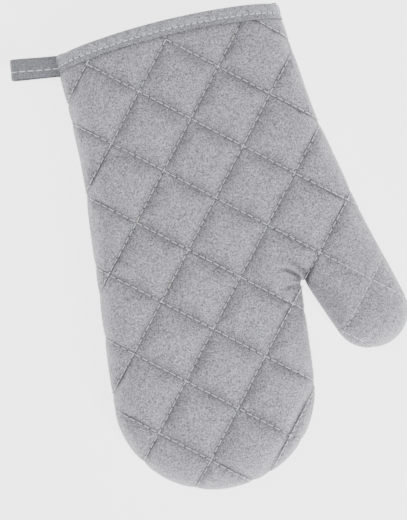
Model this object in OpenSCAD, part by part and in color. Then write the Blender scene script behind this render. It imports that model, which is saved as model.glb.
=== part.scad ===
// Quilted oven mitt lying flat on its back panel, palm panel up, cuff towards +Y.
// The origin is the middle of the mitt's box, on the surface that it lies on.

/* [Outline] */
// Length from the cuff line to the fingertips
mitt_len = 303; // [290:1:330]
// Width of the cuff
cuff_w = 149; // [142:1:160]
// How far the middle of the cuff edge stands out past its ends
cuff_rise = 6; // [1:0.5:10]
// Straight stretch below the cuff, before the sides spread
wrist_len = 75; // [60:1:85]
// How far the thumb side has spread at the end of that stretch
wrist_flare = 7; // [4:0.5:9]
// Width of the finger pocket at its tip
finger_w = 134; // [124:1:140]
// Sideways lean of the finger pocket, away from the thumb
finger_lean = 32; // [28:0.5:36]
// Distance from the cuff line to the crotch of the thumb
crotch_len = 179; // [172:1:186]
// Sideways place of the crotch
crotch_x = 47.5; // [46:0.5:49]
// Rounding of the crotch
crotch_r = 1; // [0.5:0.5:3]
// Distance from the cuff line to the thumb tip
thumb_len = 236; // [230:1:246]
// Width of the thumb pocket at its tip
thumb_w = 49; // [48:0.5:56]
// Sideways place of the thumb tip
thumb_x = 93; // [92:0.5:98]
// Distance from the cuff line to the outer root of the thumb
root_len = 158; // [152:1:162]
// Sideways place of the outer root of the thumb
root_x = 98; // [96:0.5:100]

/* [Padding] */
// Height of the side seam above the surface
seam_z = 11; // [9.5:0.5:13]
// Rise of the palm panel above the side seam
palm_rise = 17; // [14:0.5:20]
// Width of the rounded edge of the padding
edge_w = 22; // [18:0.5:23]
// Thickness of the outer cloth
shell_t = 0.8; // [0.6:0.1:1.0]
// Thickness of the wadding
wadding_t = 3.8; // [3.4:0.1:4.2]
// Thickness of the lining
lining_t = 0.6; // [0.4:0.1:0.8]

/* [Quilting] */
// Distance between neighbouring quilting lines
quilt_pitch = 38; // [30:0.5:45]
// Direction of the first family of quilting lines
quilt_angle = 48.7; // [40:0.1:50]
// A crossing of two quilting lines, sideways from the middle of the cuff
quilt_x = 5.3; // [0:0.1:20]
// The same crossing's distance from the cuff line
quilt_len = 117; // [100:0.5:130]
// Width of a row of thread
thread_w = 0.9; // [0.7:0.1:1.2]
// How deep a row of thread is pulled into the cloth
thread_t = 0.35; // [0.25:0.05:0.45]

/* [Cuff binding] */
// Visible width of the binding
binding_w = 10.6; // [9:0.2:13]
// Thickness of the folded binding strip
binding_t = 1; // [0.8:0.1:1.2]
// Distance from the cuff edge to the binding's stitches
binding_stitch = 6.6; // [4:0.2:8]

/* [Side seam] */
// How far the raw edges reach into the mitt past the walls
allowance_w = 8; // [5:0.5:10]
// Thickness of the raw edges sewn together
allowance_t = 2; // [1.6:0.1:2.4]
// Distance from the wall to the row of seam stitches
seam_stitch = 1.4; // [1.2:0.1:2]

/* [Hanging loop] */
// Width of the tape
loop_w = 13; // [9:0.5:15]
// Length of the loop from its root to its fold
loop_len = 31; // [26:0.5:40]
// Thickness of the folded tape
loop_t = 1; // [0.8:0.1:1.2]
// Outer radius of the fold
fold_r = 4.2; // [3.8:0.1:4.8]
// How far the loop leans towards the cuff edge
loop_tilt = 8.4; // [0:0.2:12]
// Distance from the cuff line to the middle of the loop's root
loop_drop = 8.6; // [8.4:0.1:12]
// Distance of the loop's stitches from the tape's middle line
loop_stitch = 2; // [0:0.1:3]

/* [Bends] */
// Distance from the cuff line to the crease that the fingers bend at
finger_crease = 213; // [206:1:218]
// Direction of the crease that the thumb bends at
thumb_crease_angle = 48.7; // [44:0.1:54]
// How far that crease is past the crotch
thumb_crease_gap = 16.7; // [12:0.1:20]
// Hairline gap between the lengths of cloth on either side of a crease
crease_gap = 0.6; // [0.6:0.1:1]
// Gap between the loop's root and the side of the cuff
loop_gap = 0.3; // [0.3:0.1:0.6]

/* [Hidden] */
ZONES = ["hand", "fingers", "thumb"];

silver_cloth = [0.69, 0.69, 0.71];
binding_cloth = [0.64, 0.65, 0.69];
loop_cloth = [0.58, 0.59, 0.63];
wadding_white = [0.93, 0.92, 0.89];
lining_grey = [0.80, 0.80, 0.79];
raw_edge_grey = [0.74, 0.74, 0.75];
thread_grey = [0.84, 0.84, 0.85];

reach = 500;
past_cuff = 20;
// The block below the cuff edge: posts under the arch that stand on a plate.
post_t = 0.01;
posts_y = -60;
posts_h = 100;
plate_y = -40;
arc_step = 16;
levels = 4;
arch_slats = 8;
flare_r = 250;
root_r = 150;
// The rounded tips' radii as shares of the widths that they end.
fingertip_share = 0.484;
thumb_share = 0.49;
fingertip_r = fingertip_share * finger_w;
thumb_r = thumb_share * thumb_w;
// The padding's rounded edges never meet across the thumb.
edge = min(edge_w, thumb_r - 1);
wall_t = shell_t + wadding_t + lining_t;
cuff_wadding = binding_t + shell_t;
cuff_binding_in = wall_t - binding_t;
cuff_lining = cuff_binding_in - lining_t;
step_t = 0.8;
root_clearance = 0.1;
loop_root_r = loop_t + root_clearance;
slit_r = 0.05;

// The corners of the outline before they are rounded, from the cuff down one side and back up the other.
corners = [
    [-cuff_w / 2, past_cuff],
    [-cuff_w / 2, -wrist_len],
    [-finger_lean - finger_w / 2, -mitt_len],
    [-finger_lean + finger_w / 2, -mitt_len],
    [crotch_x, -crotch_len],
    [thumb_x - thumb_w / 2, -thumb_len],
    [thumb_x + thumb_w / 2, -thumb_len],
    [root_x, -root_len],
    [cuff_w / 2 + wrist_flare, -wrist_len],
    [cuff_w / 2 - wrist_flare * past_cuff / wrist_len, past_cuff]
];
last_corner = len(corners) - 1;
radii = [0, flare_r, fingertip_r, fingertip_r, crotch_r, thumb_r, thumb_r, root_r, flare_r, 0];

function unit(angle) = [cos(angle), sin(angle)];
function heading(i) = atan2(corners[i + 1][1] - corners[i][1], corners[i + 1][0] - corners[i][0]);
function wrapped(angle) = angle > 180 ? angle - 360 : angle < -180 ? angle + 360 : angle;
function turn(i) = wrapped(heading(i) - heading(i - 1));
function side(i) = sign(turn(i));
function steps(i) = ceil(abs(turn(i)) / arc_step);
function arc_centre(i) =
    corners[i] - side(i) * radii[i] / cos(turn(i) / 2) * unit(heading(i - 1) + turn(i) / 2 - 90);

// A point of the outline's end on the line past the cuff, moved in by inset.
function end_point(corner, angle, inset) =
    let (moved = corner - inset * unit(angle - 90))
    moved + unit(angle) * (past_cuff - moved[1]) / sin(angle);

// The outline moved in by inset, anticlockwise from the cuff: every arc keeps its centre.
function ring(inset) = concat(
    [end_point(corners[0], heading(0), inset)],
    [
        for (i = [1:last_corner - 1]) each [
            for (k = [0:steps(i)])
                let (angle = heading(i - 1) - 90 + turn(i) * k / steps(i))
                arc_centre(i) + (side(i) * radii[i] - inset) * unit(angle)
        ]
    ],
    [end_point(corners[last_corner], heading(last_corner - 1), inset)]
);

// The box of the whole mitt, which places the origin.
x_right = arc_centre(6)[0] + thumb_r;
loop_root = [-cuff_w / 2 - loop_root_r - loop_w / 2 * sin(loop_tilt) - loop_gap, -loop_drop];
x_left = loop_root[0] - loop_len * cos(loop_tilt) - loop_w / 2 * sin(loop_tilt);
y_top = cuff_rise / 2;
origin = [(x_left + x_right) / 2, (y_top - mitt_len) / 2];

// The edge of the cuff binding is a circular arc through its two ends and its raised middle.
arch_r = (pow(cuff_w / 2, 2) + pow(cuff_rise, 2)) / (2 * cuff_rise);
function arch_y(x) = cuff_rise / 2 - arch_r + sqrt(pow(arch_r, 2) - pow(x, 2));

module placed() {
    translate([-origin[0], -origin[1], 0]) children();
}

// The filled body of the mitt, at a depth below its outer surface.
module pad(depth) {
    angles = [for (k = [-levels:levels]) 90 * k / levels];
    rings = [for (a = angles) ring(edge - (edge - depth) * cos(a))];
    rise = [for (a = angles) seam_z + ((a < 0 ? seam_z : palm_rise) - depth) * sin(a)];
    count = len(rings[0]);
    last = len(rings) - 1;
    points = [for (k = [0:last]) for (p = rings[k]) [p[0], p[1], rise[k]]];
    sides = [
        for (k = [0:last - 1]) for (i = [0:count - 1])
            let (j = (i + 1) % count)
            [k * count + i, (k + 1) * count + i, (k + 1) * count + j, k * count + j]
    ];
    bottom = [for (i = [0:count - 1]) i];
    top = [for (i = [count - 1:-1:0]) last * count + i];
    polyhedron(points, concat([bottom], sides, [top]), convexity = 6);
}

// Everything on the finger side of the binding's arched edge, which is moved outwards by shift.
module below_arch(shift) {
    half = cuff_w / 2 + past_cuff;
    slat = 2 * half / arch_slats;
    for (k = [0:arch_slats - 1])
        hull() {
            arch_post(-half + slat * k, shift);
            arch_post(-half + slat * (k + 1), shift);
        }
    translate([-reach, -reach, -reach / 2]) cube([2 * reach, reach + plate_y, reach]);
}

module arch_post(x, shift) {
    translate([x - post_t / 2, posts_y, -posts_h / 2]) cube([post_t, arch_y(x) + shift - posts_y, posts_h]);
}

// Cloth between two depths, up to the binding's edge moved by shift.
module layer(outer, inner, shift) {
    difference() {
        intersection() {
            pad(outer);
            below_arch(shift);
        }
        pad(inner);
    }
}

// The same, on a band beside that edge.
module band(outer, inner, low, high) {
    difference() {
        layer(outer, inner, high);
        below_arch(low);
    }
}

// Everything past the crease of the fingers, from the given distance past it.
module finger_side(past) {
    translate([crotch_x - reach, -finger_crease - past - reach, -reach / 2]) cube([reach, reach, reach]);
}

// Everything past the crease of the thumb, from the given distance past it.
module thumb_side(past) {
    intersection() {
        translate([crotch_x, -crotch_len, -reach / 2])
            rotate(thumb_crease_angle)
                translate([-reach / 2, -thumb_crease_gap - past - reach, 0]) cube([reach, reach, reach]);
        translate([crotch_x, -reach, -reach / 2]) cube([reach, reach, reach]);
    }
}

// The part of its children that lies in one zone of the mitt.
module in_zone(zone) {
    if (zone == "fingers")
        intersection() {
            children();
            finger_side(crease_gap / 2);
        }
    else if (zone == "thumb")
        intersection() {
            children();
            thumb_side(crease_gap / 2);
        }
    else
        difference() {
            children();
            finger_side(-crease_gap / 2);
            thumb_side(-crease_gap / 2);
        }
}

// The part of its children above the side seam, or below it.
module in_panel(panel) {
    intersection() {
        children();
        translate([-reach, -reach, panel == "front" ? seam_z : seam_z - reach])
            cube([2 * reach, 2 * reach, reach]);
    }
}

// One straight slab for each quilting line that crosses the mitt.
module quilting_lines() {
    count = ceil(mitt_len / quilt_pitch);
    for (family = [0, 90])
        for (k = [-count:count])
            translate([quilt_x, -quilt_len, 0])
                rotate(quilt_angle + family)
                    translate([-reach, k * quilt_pitch - thread_w / 2, -reach / 2])
                        cube([2 * reach, thread_w, reach]);
}

// What a row of thread presses into: everything on its line that is outside the thread's depth.
module pressed_in() {
    difference() {
        children();
        pad(thread_t);
    }
}

// The outer cloth steps in under the binding at the cuff.
module shell(zone, panel) {
    color(silver_cloth)
        placed()
            in_zone(zone)
                in_panel(panel)
                    difference() {
                        union() {
                            layer(0, shell_t, -binding_w);
                            if (zone == "hand") {
                                band(0, cuff_wadding, -binding_w - step_t, -binding_w);
                                band(binding_t, cuff_wadding, -binding_w - step_t, -binding_t);
                            }
                        }
                        pressed_in() quilting_lines();
                    }
}

module wadding(zone, panel) {
    color(wadding_white)
        placed()
            in_zone(zone)
                in_panel(panel) {
                    layer(shell_t, wall_t - lining_t, -binding_w - step_t);
                    if (zone == "hand") band(cuff_wadding, cuff_lining, -binding_w - 2 * step_t, -binding_t);
                }
}

module lining(zone, panel) {
    color(lining_grey)
        placed()
            in_zone(zone)
                in_panel(panel) {
                    layer(wall_t - lining_t, wall_t, -binding_w);
                    if (zone == "hand") {
                        band(cuff_lining, wall_t, -binding_w - step_t, -binding_w);
                        band(cuff_lining, cuff_binding_in, -binding_w - step_t, -binding_t);
                    }
                }
}

module quilting_thread(zone, panel) {
    color(thread_grey)
        placed()
            in_zone(zone)
                in_panel(panel)
                    intersection() {
                        layer(0, thread_t, -binding_w);
                        quilting_lines();
                    }
}

// A strip inside the mitt that follows the side seam, between two distances from the wall.
module seam_strip(near, far, low, high) {
    difference() {
        intersection() {
            pad(wall_t);
            below_arch(-binding_w);
            translate([-reach, -reach, seam_z + low]) cube([2 * reach, 2 * reach, high - low]);
            inset_block(wall_t + near);
        }
        inset_block(wall_t + far);
    }
}

module inset_block(inset) {
    translate([0, 0, -reach / 2]) linear_extrude(reach) polygon(ring(inset));
}

module seam_row() {
    half = thread_w / 2;
    top = allowance_t / 2;
    seam_strip(seam_stitch - half, seam_stitch + half, top - thread_t, top);
    seam_strip(seam_stitch - half, seam_stitch + half, -top, thread_t - top);
}

module seam_allowance(zone) {
    color(raw_edge_grey)
        placed()
            in_zone(zone)
                difference() {
                    seam_strip(-wall_t, allowance_w, -allowance_t / 2, allowance_t / 2);
                    seam_row();
                }
}

module seam_thread(zone) {
    color(thread_grey)
        placed()
            in_zone(zone)
                seam_row();
}

// The stretch between two lines that follow the cuff edge.
module beside_arch(low, high) {
    difference() {
        below_arch(high);
        below_arch(low);
    }
}

module binding_row() {
    beside_arch(-binding_stitch - thread_w / 2, -binding_stitch + thread_w / 2);
}

// A folded strip over the cuff edge, with one leg outside the walls and one inside.
module cuff_binding() {
    color(binding_cloth)
        placed()
            difference() {
                band(0, wall_t, -binding_w, 0);
                layer(binding_t, cuff_binding_in, -binding_t);
                pressed_in() binding_row();
            }
}

module binding_thread() {
    color(thread_grey)
        placed()
            intersection() {
                layer(0, thread_t, 0);
                binding_row();
            }
}

// A drop-shaped outline: a small circle at its root and a larger one at its far end.
module drop(root_r, far_r, root_at, far_at) {
    lean = 90 + asin((far_r - root_r) / (far_at - root_at));
    root_touch = root_r * unit(lean);
    far_touch = far_r * unit(lean);
    translate([root_at, 0]) circle(root_r);
    translate([far_at, 0]) circle(far_r);
    polygon([
        [root_at + root_touch[0], root_touch[1]],
        [root_at + root_touch[0], -root_touch[1]],
        [far_at + far_touch[0], -far_touch[1]],
        [far_at + far_touch[0], far_touch[1]]
    ]);
}

module loop_outline(thinner) {
    drop(loop_root_r - thinner, fold_r - thinner, 0, loop_len - fold_r);
}

// Stands a flat outline up as tape at the loop's place, between two distances from its middle line.
module as_loop(low, high) {
    translate([loop_root[0], loop_root[1], seam_z])
        rotate(-loop_tilt)
            mirror([1, 0, 0])
                translate([0, high, 0])
                    rotate([90, 0, 0]) linear_extrude(high - low) children();
}

module loop_row() {
    as_loop(-loop_stitch - thread_w / 2, -loop_stitch + thread_w / 2)
        difference() {
            loop_outline(0);
            loop_outline(thread_t);
            translate([loop_len - 2 * fold_r, -reach / 2]) square([reach, reach]);
        }
}

module hanging_loop() {
    color(loop_cloth)
        placed()
            difference() {
                as_loop(-loop_w / 2, loop_w / 2)
                    difference() {
                        loop_outline(0);
                        drop(slit_r, fold_r - loop_t, 2 * loop_root_r, loop_len - fold_r);
                    }
                loop_row();
            }
}

module loop_thread() {
    color(thread_grey)
        placed()
            loop_row();
}

shell("hand", "front");  // hand_front_shell
shell("hand", "back");  // hand_back_shell
wadding("hand", "front");  // hand_front_wadding
wadding("hand", "back");  // hand_back_wadding
lining("hand", "front");  // hand_front_lining
lining("hand", "back");  // hand_back_lining
quilting_thread("hand", "front");  // hand_front_quilting_thread
quilting_thread("hand", "back");  // hand_back_quilting_thread
seam_allowance("hand");  // hand_seam_allowance
seam_thread("hand");  // hand_seam_thread
shell("fingers", "front");  // fingers_front_shell
shell("fingers", "back");  // fingers_back_shell
wadding("fingers", "front");  // fingers_front_wadding
wadding("fingers", "back");  // fingers_back_wadding
lining("fingers", "front");  // fingers_front_lining
lining("fingers", "back");  // fingers_back_lining
quilting_thread("fingers", "front");  // fingers_front_quilting_thread
quilting_thread("fingers", "back");  // fingers_back_quilting_thread
seam_allowance("fingers");  // fingers_seam_allowance
seam_thread("fingers");  // fingers_seam_thread
shell("thumb", "front");  // thumb_front_shell
shell("thumb", "back");  // thumb_back_shell
wadding("thumb", "front");  // thumb_front_wadding
wadding("thumb", "back");  // thumb_back_wadding
lining("thumb", "front");  // thumb_front_lining
lining("thumb", "back");  // thumb_back_lining
quilting_thread("thumb", "front");  // thumb_front_quilting_thread
quilting_thread("thumb", "back");  // thumb_back_quilting_thread
seam_allowance("thumb");  // thumb_seam_allowance
seam_thread("thumb");  // thumb_seam_thread
cuff_binding();
binding_thread();
hanging_loop();
loop_thread();
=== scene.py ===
import bpy
import bmesh
import math
import random
import numpy as np
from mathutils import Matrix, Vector, noise
from mathutils.bvhtree import BVHTree
from mathutils.geometry import delaunay_2d_cdt
from mathutils.interpolate import poly_3d_calc


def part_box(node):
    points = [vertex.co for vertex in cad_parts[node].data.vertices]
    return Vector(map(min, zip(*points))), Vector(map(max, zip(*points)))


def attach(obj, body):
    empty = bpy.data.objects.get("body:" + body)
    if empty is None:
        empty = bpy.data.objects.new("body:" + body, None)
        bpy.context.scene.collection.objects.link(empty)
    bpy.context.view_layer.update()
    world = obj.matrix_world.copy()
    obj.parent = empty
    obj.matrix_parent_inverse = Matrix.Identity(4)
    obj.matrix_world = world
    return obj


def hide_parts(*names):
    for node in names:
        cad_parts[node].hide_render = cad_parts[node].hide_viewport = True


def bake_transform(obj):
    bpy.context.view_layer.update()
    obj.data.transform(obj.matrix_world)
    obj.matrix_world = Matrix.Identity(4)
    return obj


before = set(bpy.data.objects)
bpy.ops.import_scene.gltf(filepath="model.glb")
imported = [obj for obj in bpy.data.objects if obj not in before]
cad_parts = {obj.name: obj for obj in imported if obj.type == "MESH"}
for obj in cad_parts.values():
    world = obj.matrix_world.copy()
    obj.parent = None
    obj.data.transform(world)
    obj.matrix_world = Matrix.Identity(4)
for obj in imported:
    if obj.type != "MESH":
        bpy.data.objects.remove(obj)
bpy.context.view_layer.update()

# Sizes are in millimetres in the mitt's own plan: x towards the thumb, y towards the cuff, z up from the table.
outline = {
    "length": 303, "cuffWidth": 149, "cuffRise": 6, "wristLength": 75, "wristFlare": 7,
    "fingerWidth": 134, "fingerLean": 32, "crotchLength": 179, "crotchX": 47.5, "crotchRadius": 1,
    "thumbLength": 236, "thumbWidth": 49, "thumbX": 93, "rootLength": 158, "rootX": 98,
    "flareRadius": 250, "rootRadius": 150, "fingertipShare": 0.484, "thumbShare": 0.49,
}
padding = {
    "seamHeight": 11, "palmRise": 17, "edgeWidth": 22,
    "shell": 0.8, "wadding": 3.8, "lining": 0.6,
}
wallThickness = padding["shell"] + padding["wadding"] + padding["lining"]
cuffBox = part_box("cuff_binding")
origin = np.array([
    cuffBox[0][0] * 1000 + outline["cuffWidth"] / 2,
    cuffBox[1][1] * 1000 - outline["cuffRise"] / 2,
    0.0,
])


def toWorld(points):
    return (np.asarray(points, float) + origin) / 1000


def worldPoint(x, y, z=0.0):
    return tuple(float(v) for v in toWorld([x, y, z]))


def unit(angle):
    return np.array([math.cos(math.radians(angle)), math.sin(math.radians(angle))])


camera = {"x": -11.9, "y": -154.3, "z": 22, "turn": -13.7, "height": 338, "lens": 150, "clipEnd": 20}


def makeCamera():
    data = bpy.data.cameras.new("camera")
    data.lens = camera["lens"]
    view = bpy.data.objects.new("camera", data)
    bpy.context.collection.objects.link(view)
    distance = data.lens / data.sensor_width * camera["height"] / 1000
    x, y, z = worldPoint(camera["x"], camera["y"], camera["z"])
    view.location = (x, y, z + distance)
    view.rotation_euler = (0, 0, math.radians(camera["turn"]))
    data.clip_end = camera["clipEnd"]
    bpy.context.scene.camera = view
    return view


studio = {
    "lights": {
        "low_key": {"azimuth": -62, "elevation": 36, "distance": 1.5, "size": 0.6, "power": 20},
        "top_fill": {"azimuth": 120, "elevation": 72, "distance": 1.9, "size": 1.6, "power": 21},
    },
    "aim": (0, -150, 10), "sky": 0.6, "tableSize": 6, "tableDrop": 0.05,
    "tableTone": (0.89, 0.91), "tableHaze": 6.0, "tableRoughness": 0.6, "tableGlow": 2.6,
}


def areaLight(name, azimuth, elevation, distance, size, power):
    data = bpy.data.lights.new(name, "AREA")
    data.shape = "DISK"
    data.size = size
    data.energy = power
    light = bpy.data.objects.new(name, data)
    bpy.context.collection.objects.link(light)
    level = math.cos(math.radians(elevation)) * distance
    side = unit(azimuth) * level
    centre = Vector(worldPoint(*studio["aim"]))
    light.location = centre + Vector((side[0], side[1], math.sin(math.radians(elevation)) * distance))
    light.rotation_euler = (centre - light.location).to_track_quat("-Z", "Y").to_euler()
    return light


def makeStudio():
    for name, light in studio["lights"].items():
        areaLight(name, **light)
    world = bpy.data.worlds.new("studio")
    bpy.context.scene.world = world
    world.use_nodes = True
    sky = world.node_tree.nodes["Background"]
    sky.inputs["Color"].default_value = (1, 1, 1, 1)
    sky.inputs["Strength"].default_value = studio["sky"]
    x, y, nothing = studio["aim"]
    bpy.ops.mesh.primitive_plane_add(size=studio["tableSize"], location=worldPoint(x, y, -studio["tableDrop"]))
    floor = bpy.context.object
    floor.name = "floor"
    return floor


makeCamera()
floor = makeStudio()
print("stage: camera, lights and floor")


def nodeAdder(material):
    material.use_nodes = True
    tree = material.node_tree

    def add(kind, settings=None, **inputs):
        node = tree.nodes.new(kind)
        for key, value in (settings or {}).items():
            setattr(node, key, value)
        for key, value in inputs.items():
            socket = node.inputs[key.replace("_", " ")]
            if isinstance(value, bpy.types.NodeSocket):
                tree.links.new(value, socket)
            else:
                socket.default_value = value
        return node

    return tree, add


# deepest is the strongest value of the painted shade attribute, where the colour is darkened most.
deepest = 1.4  # the darkest value of the valley attribute


# Woven cloth: a fine grain, a plain weave, soft blotches, and painted shade that darkens the colour in creases,
# valleys and seams.
def clothMaterial(name, look):
    material = bpy.data.materials.new(name)
    tree, add = nodeAdder(material)
    shader = tree.nodes["Principled BSDF"]
    place = add("ShaderNodeTexCoord").outputs["Object"]

    def spread(value, low, high, first, last):
        ramp = add("ShaderNodeMapRange", Value=value)
        for title, number in (("From Min", low), ("From Max", high), ("To Min", first), ("To Max", last)):
            ramp.inputs[title].default_value = number
        return ramp.outputs["Result"]

    grain = add("ShaderNodeTexNoise", Vector=place, Scale=look["grain"], Detail=3.0, Roughness=0.75)
    flecks = add("ShaderNodeTexVoronoi", Vector=place, Scale=look["grain"] * 1.3)
    blotch = add("ShaderNodeTexNoise", Vector=place, Scale=28.0, Detail=3.0)
    amount = look["grainAmount"]
    bright = spread(grain.outputs["Fac"], 0.3, 0.7, 1 - amount, 1 + amount)
    fleck = spread(flecks.outputs["Distance"], 0, 0.8, 1 + amount * 0.5, 1 - amount * 0.5)
    tone = spread(blotch.outputs["Fac"], 0, 1, 1 - look["blotch"], 1 + look["blotch"])
    # Painted shade: a point attribute that scales the base colour down in creases, valleys and seams.
    valley = add("ShaderNodeAttribute", {"attribute_name": "valley"})
    dark = spread(valley.outputs["Fac"], 0, deepest, 1, 1 - deepest * (1 - look["valley"]))
    shade = bright
    for share in (fleck, tone, dark):
        product = add("ShaderNodeMath", {"operation": "MULTIPLY"})
        tree.links.new(shade, product.inputs[0])
        tree.links.new(share, product.inputs[1])
        shade = product.outputs["Value"]
    hue = add("ShaderNodeTexNoise", Vector=place, Scale=look["grain"] * 0.8, Detail=1.0)
    tint = add("ShaderNodeMix", {"data_type": "RGBA"}, Factor=spread(hue.outputs["Fac"], 0.35, 0.65, 0, 1))
    warm, cool = (
        tuple(c * f for c, f in zip(look["colour"], (1 + k, 1.0, 1 - k))) for k in (look["tint"], -look["tint"])
    )
    tint.inputs[6].default_value = (*warm, 1)
    tint.inputs[7].default_value = (*cool, 1)
    colour = add("ShaderNodeVectorMath", {"operation": "SCALE"})
    tree.links.new(tint.outputs[2], colour.inputs[0])
    tree.links.new(shade, colour.inputs["Scale"])
    tree.links.new(colour.outputs["Vector"], shader.inputs["Base Color"])
    warp = add("ShaderNodeTexWave", {"wave_type": "BANDS", "bands_direction": "X"}, Vector=place)
    weft = add("ShaderNodeTexWave", {"wave_type": "BANDS", "bands_direction": "Y"}, Vector=place)
    for wave in (warp, weft):
        wave.inputs["Scale"].default_value = look["weave"]
        wave.inputs["Distortion"].default_value = 1.2
        wave.inputs["Detail"].default_value = 1.0
        wave.inputs["Detail Scale"].default_value = 0.4
    threads = add("ShaderNodeMath", {"operation": "ADD"})
    tree.links.new(warp.outputs["Fac"], threads.inputs[0])
    tree.links.new(weft.outputs["Fac"], threads.inputs[1])
    height = add("ShaderNodeMath", {"operation": "ADD"})
    tree.links.new(threads.outputs["Value"], height.inputs[0])
    tree.links.new(grain.outputs["Fac"], height.inputs[1])
    bump = add("ShaderNodeBump", Height=height.outputs["Value"])
    bump.inputs["Strength"].default_value = look["bump"]
    bump.inputs["Distance"].default_value = 0.00022
    tree.links.new(bump.outputs["Normal"], shader.inputs["Normal"])
    rough = spread(grain.outputs["Fac"], 0, 1, look["roughness"] - 0.08, look["roughness"] + 0.08)
    tree.links.new(rough, shader.inputs["Roughness"])
    shader.inputs["Metallic"].default_value = look["metallic"]
    shader.inputs["Sheen Weight"].default_value = look["sheen"]
    shader.inputs["Sheen Roughness"].default_value = 0.5
    return material


# In each look, the painted shade value is the share of colour left where the shade attribute is 1.
clothLooks = {
    "silver cloth": {
        "colour": (0.38, 0.372, 0.414), "grain": 900, "grainAmount": 0.78, "blotch": 0.04, "valley": 0.56,
        "tint": 0.035, "weave": 640, "bump": 0.35, "roughness": 0.56, "metallic": 0.2, "sheen": 0.1,
    },
    "binding cloth": {
        "colour": (0.385, 0.386, 0.432), "grain": 900, "grainAmount": 0.7, "blotch": 0.03, "valley": 0.35,
        "tint": 0.03, "weave": 640, "bump": 0.35, "roughness": 0.52, "metallic": 0.2, "sheen": 0.1,
    },
    "loop tape": {
        "colour": (0.21, 0.215, 0.24), "grain": 900, "grainAmount": 0.5, "blotch": 0.05, "valley": 0.5,
        "tint": 0.03, "weave": 640, "bump": 0.35, "roughness": 0.55, "metallic": 0.15, "sheen": 0.1,
    },
    "lining cotton": {
        "colour": (0.50, 0.49, 0.47), "grain": 900, "grainAmount": 0.08, "blotch": 0.03, "valley": 0.8,
        "tint": 0.01, "weave": 420, "bump": 0.5, "roughness": 0.9, "metallic": 0.0, "sheen": 0.25,
    },
    "wadding": {
        "colour": (0.72, 0.71, 0.68), "grain": 500, "grainAmount": 0.1, "blotch": 0.05, "valley": 1.0,
        "tint": 0.01, "weave": 150, "bump": 0.3, "roughness": 0.95, "metallic": 0.0, "sheen": 0.4,
    },
    "raw seam edge": {
        "colour": (0.42, 0.42, 0.43), "grain": 800, "grainAmount": 0.25, "blotch": 0.08, "valley": 0.6,
        "tint": 0.02, "weave": 400, "bump": 0.8, "roughness": 0.85, "metallic": 0.05, "sheen": 0.3,
    },
}
cloths = {name: clothMaterial(name, look) for name, look in clothLooks.items()}


threadLook = {
    "colour": (0.8, 0.8, 0.82), "fuzz": 2500.0, "darkest": 0.8, "lightest": 1.15,
    "bump": 0.4, "bumpDepth": 0.0001, "roughness": 0.5, "sheen": 0.3,
}


# Sewing thread with a fuzzy surface.
def threadMaterial(name, look):
    material = bpy.data.materials.new(name)
    tree, add = nodeAdder(material)
    shader = tree.nodes["Principled BSDF"]
    place = add("ShaderNodeTexCoord").outputs["Object"]
    fuzz = add("ShaderNodeTexNoise", Vector=place, Scale=look["fuzz"], Detail=2.0)
    ramp = add("ShaderNodeMapRange", Value=fuzz.outputs["Fac"])
    ramp.inputs["To Min"].default_value = look["darkest"]
    ramp.inputs["To Max"].default_value = look["lightest"]
    tint = add("ShaderNodeVectorMath", {"operation": "SCALE"})
    tint.inputs[0].default_value = look["colour"]
    tree.links.new(ramp.outputs["Result"], tint.inputs["Scale"])
    tree.links.new(tint.outputs["Vector"], shader.inputs["Base Color"])
    bump = add("ShaderNodeBump", Height=fuzz.outputs["Fac"])
    bump.inputs["Strength"].default_value = look["bump"]
    bump.inputs["Distance"].default_value = look["bumpDepth"]
    tree.links.new(bump.outputs["Normal"], shader.inputs["Normal"])
    shader.inputs["Roughness"].default_value = look["roughness"]
    shader.inputs["Sheen Weight"].default_value = look["sheen"]
    return material


paleThread = threadMaterial("pale grey thread", threadLook)


def floorMaterial():
    material = bpy.data.materials.new("pale table")
    tree, add = nodeAdder(material)
    shader = tree.nodes["Principled BSDF"]
    place = add("ShaderNodeTexCoord").outputs["Object"]
    haze = add("ShaderNodeTexNoise", Vector=place, Scale=studio["tableHaze"])
    tone = add("ShaderNodeMapRange", Value=haze.outputs["Fac"])
    tone.inputs["To Min"].default_value, tone.inputs["To Max"].default_value = studio["tableTone"]
    tree.links.new(tone.outputs["Result"], shader.inputs["Base Color"])
    shader.inputs["Roughness"].default_value = studio["tableRoughness"]
    shader.inputs["Emission Color"].default_value = (1, 1, 1, 1)
    shader.inputs["Emission Strength"].default_value = studio["tableGlow"]
    return material


floor.data.materials.append(floorMaterial())
print("stage: materials")


def headingOf(a, b):
    return math.degrees(math.atan2(b[1] - a[1], b[0] - a[0]))


def archHeight(x):
    half, rise = outline["cuffWidth"] / 2, outline["cuffRise"]
    radius = (half ** 2 + rise ** 2) / (2 * rise)
    return rise / 2 - radius + math.sqrt(radius ** 2 - x ** 2)


def cornerList():
    o = outline
    half = o["cuffWidth"] / 2
    finger = o["fingerWidth"] / 2
    thumb = o["thumbWidth"] / 2
    fingertip = o["fingertipShare"] * o["fingerWidth"]
    tip = o["thumbShare"] * o["thumbWidth"]
    return [
        ((-half, 0), 0),
        ((-half, -o["wristLength"]), o["flareRadius"]),
        ((-o["fingerLean"] - finger, -o["length"]), fingertip),
        ((-o["fingerLean"] + finger, -o["length"]), fingertip),
        ((o["crotchX"], -o["crotchLength"]), o["crotchRadius"]),
        ((o["thumbX"] - thumb, -o["thumbLength"]), tip),
        ((o["thumbX"] + thumb, -o["thumbLength"]), tip),
        ((o["rootX"], -o["rootLength"]), o["rootRadius"]),
        ((half + o["wristFlare"], -o["wristLength"]), o["flareRadius"]),
        ((half, 0), 0),
    ]


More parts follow.
